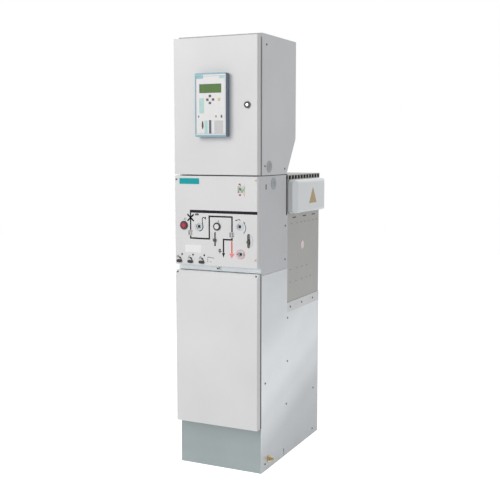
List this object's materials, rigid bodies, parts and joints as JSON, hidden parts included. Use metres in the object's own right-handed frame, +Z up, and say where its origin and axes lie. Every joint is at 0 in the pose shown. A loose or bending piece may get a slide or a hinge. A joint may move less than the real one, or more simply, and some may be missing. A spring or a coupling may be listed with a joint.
{
  "type": "modular switchgear panel",
  "caption": "Free-standing medium-voltage switchgear panel with relay door on top, mimic control board, lift-off cable cover, gas vessel behind and plinth.",
  "frame": {"origin": "on the floor, at the centre of the four floor fixing holes", "axes": "+Z up, the front with door, control board and cable cover faces -Y, +X to the right seen from the front"},
  "size_m": [0.512, 0.8136, 2.04],
  "materials": {
    "painted_front": "fine textured powder coat, satin",
    "painted_side": "fine textured powder coat, satin",
    "painted_plinth": "satin powder coat",
    "zinc_sheet": "zinc-plated sheet, satin",
    "stainless_vessel": "rolled stainless steel, satin",
    "cap_moulding": "smooth grey lacquer, satin",
    "steel_fastener": "zinc-plated, semi-gloss",
    "brass_bolt": "plain brass",
    "copper_bar": "bare copper",
    "epoxy_resin": "cast resin",
    "interrupter_ceramic": "glazed",
    "shaft_steel": "turned steel",
    "flag_plastic": "matt",
    "black_plastic": "matt",
    "ring_aluminium": "satin",
    "off_red": "gloss",
    "on_white": "gloss",
    "cap_rubber": "matt",
    "ct_resin": "cast resin",
    "terminal_plastic": "matt",
    "breaker_plastic": "matt",
    "toggle_plastic": "semi-gloss",
    "duct_plastic": "matt",
    "plug_plastic": "matt",
    "relay_plastic": "fine textured",
    "key_plastic": "soft matt"
  },
  "bodies": {
    "cabinet": {"control_board": "painted_front", "side_wall_left": "painted_side", "side_wall_right": "painted_side", "control_housing": "painted_side", "lv_body": "painted_side", "busbar_roof": "painted_side", "rear_wall": "painted_side", "plinth_front": "painted_plinth", "ledge_strip": "painted_plinth", "ledge_rails": "zinc_sheet", "lv_mount_plate": "zinc_sheet", "transformer_plate": "zinc_sheet", "cable_clamps": "zinc_sheet", "mechanism_frame": "zinc_sheet", "base_frame": "zinc_sheet", "vessel": "stainless_vessel", "busbar_caps": "cap_moulding", "sheet_screws": "steel_fastener", "door_hinges": "steel_fastener", "earth_bolt": "brass_bolt", "busbars": "copper_bar", "switch_contacts": "copper_bar", "earth_busbar": "copper_bar", "bushings": "epoxy_resin", "interrupter_carrier": "epoxy_resin", "vacuum_interrupters": "interrupter_ceramic", "button_collars": "black_plastic", "test_sockets": "black_plastic", "gas_indicator": "black_plastic", "drive_rings": "ring_aluminium", "socket_caps": "cap_rubber", "current_transformers": "ct_resin", "terminal_blocks": "terminal_plastic", "breaker_bodies": "breaker_plastic", "wiring_duct": "duct_plastic", "knockout_plugs": "plug_plastic"},
    "lv_door": {"lv_door": "painted_front", "door_gasket": "cap_rubber", "protection_relay": "relay_plastic"},
    "door_lock": {"door_lock": "steel_fastener"},
    "off_button": {"off_button": "off_red"},
    "on_button": {"on_button": "on_white"},
    "charging_shaft": {"charging_shaft": "shaft_steel"},
    "switch": {"switch_shaft": "shaft_steel", "switch_blades": "copper_bar"},
    "disconnector_drive": {"disconnector_drive": "shaft_steel"},
    "earthing_drive": {"earthing_drive": "shaft_steel"},
    "crossbar": {"contact_crossbar": "epoxy_resin"},
    "breaker_flag": {"breaker_flag": "flag_plastic"},
    "gate_left": {"gate_left": "black_plastic"},
    "gate_right": {"gate_right": "black_plastic"},
    "gas_pointer": {"gas_pointer": "off_red"},
    "toggle_1": {"breaker_toggle_1": "toggle_plastic"},
    "toggle_2": {"breaker_toggle_2": "toggle_plastic"},
    "cable_cover": {"cable_cover": "painted_front"},
    "key_up": {"key_up": "key_plastic"},
    "key_left": {"key_left": "key_plastic"},
    "key_right": {"key_right": "key_plastic"},
    "key_down": {"key_down": "key_plastic"},
    "key_enter": {"key_enter": "key_plastic"}
  },
  "joints": [
    {"name": "door_hinge", "type": "hinge", "parent": "cabinet", "child": "lv_door", "pos_m": [-0.207, -0.3495, 1.72], "axis": [0, 0, -1], "range_deg": [0, 95]},
    {"name": "lock_turn", "type": "hinge", "parent": "lv_door", "child": "door_lock", "pos_m": [0.165, -0.3875, 1.721], "axis": [0, 1, 0], "range_deg": [0, 90]},
    {"name": "off_press", "type": "slide", "parent": "cabinet", "child": "off_button", "axis": [0, 1, 0], "range_m": [0, 0.005], "stiffness_N_per_m": 2500},
    {"name": "on_press", "type": "slide", "parent": "cabinet", "child": "on_button", "axis": [0, 1, 0], "range_m": [0, 0.005], "stiffness_N_per_m": 2500},
    {"name": "charging_turn", "type": "hinge", "parent": "cabinet", "child": "charging_shaft", "pos_m": [-0.086, -0.3875, 1.165], "axis": [0, -1, 0], "continuous": true},
    {"name": "switch_turn", "type": "hinge", "parent": "cabinet", "child": "switch", "pos_m": [0.085, -0.3875, 1.132], "axis": [0, -1, 0], "range_deg": [0, 90]},
    {"name": "disconnector_turn", "type": "hinge", "parent": "cabinet", "child": "disconnector_drive", "pos_m": [0.125, -0.3875, 1.171], "axis": [0, -1, 0], "range_deg": [0, 90]},
    {"name": "earthing_turn", "type": "hinge", "parent": "cabinet", "child": "earthing_drive", "pos_m": [0.13, -0.3875, 1.044], "axis": [0, -1, 0], "range_deg": [0, 90]},
    {"name": "contact_lift", "type": "slide", "parent": "cabinet", "child": "crossbar", "axis": [0, 0, 1], "range_m": [-0.009, 0]},
    {"name": "flag_shift", "type": "slide", "parent": "cabinet", "child": "breaker_flag", "axis": [0, 0, 1], "range_m": [-0.0198, 0]},
    {"name": "gate_left_slide", "type": "slide", "parent": "cabinet", "child": "gate_left", "axis": [0, 0, 1], "range_m": [-0.022, 0.022]},
    {"name": "gate_right_slide", "type": "slide", "parent": "cabinet", "child": "gate_right", "axis": [0, 0, 1], "range_m": [-0.022, 0.022]},
    {"name": "gas_pointer_turn", "type": "hinge", "parent": "cabinet", "child": "gas_pointer", "pos_m": [0.135, -0.3875, 1.33], "axis": [0, 1, 0], "range_deg": [-70, 0]},
    {"name": "toggle_1_turn", "type": "hinge", "parent": "cabinet", "child": "toggle_1", "pos_m": [-0.06, -0.026, 1.9], "axis": [1, 0, 0], "range_deg": [0, 70]},
    {"name": "toggle_2_turn", "type": "hinge", "parent": "cabinet", "child": "toggle_2", "pos_m": [-0.022, -0.026, 1.9], "axis": [1, 0, 0], "range_deg": [0, 70]},
    {"name": "cover_draw", "type": "slide", "parent": "cabinet", "child": "cable_cover", "axis": [0, -1, 0], "range_m": [0, 0.25]},
    {"name": "press_up", "type": "slide", "parent": "lv_door", "child": "key_up", "axis": [0, 1, 0], "range_m": [0, 0.0012], "stiffness_N_per_m": 900},
    {"name": "press_left", "type": "slide", "parent": "lv_door", "child": "key_left", "axis": [0, 1, 0], "range_m": [0, 0.0012], "stiffness_N_per_m": 900},
    {"name": "press_right", "type": "slide", "parent": "lv_door", "child": "key_right", "axis": [0, 1, 0], "range_m": [0, 0.0012], "stiffness_N_per_m": 900},
    {"name": "press_down", "type": "slide", "parent": "lv_door", "child": "key_down", "axis": [0, 1, 0], "range_m": [0, 0.0012], "stiffness_N_per_m": 900},
    {"name": "press_enter", "type": "slide", "parent": "lv_door", "child": "key_enter", "axis": [0, 1, 0], "range_m": [0, 0.0012], "stiffness_N_per_m": 900}
  ],
  "couplings": [
    {"joint": "disconnector_turn", "follows": "switch_turn", "ratio": 1},
    {"joint": "earthing_turn", "follows": "switch_turn", "ratio": 1},
    {"joint": "flag_shift", "follows": "contact_lift", "ratio": 2.2}
  ]
}
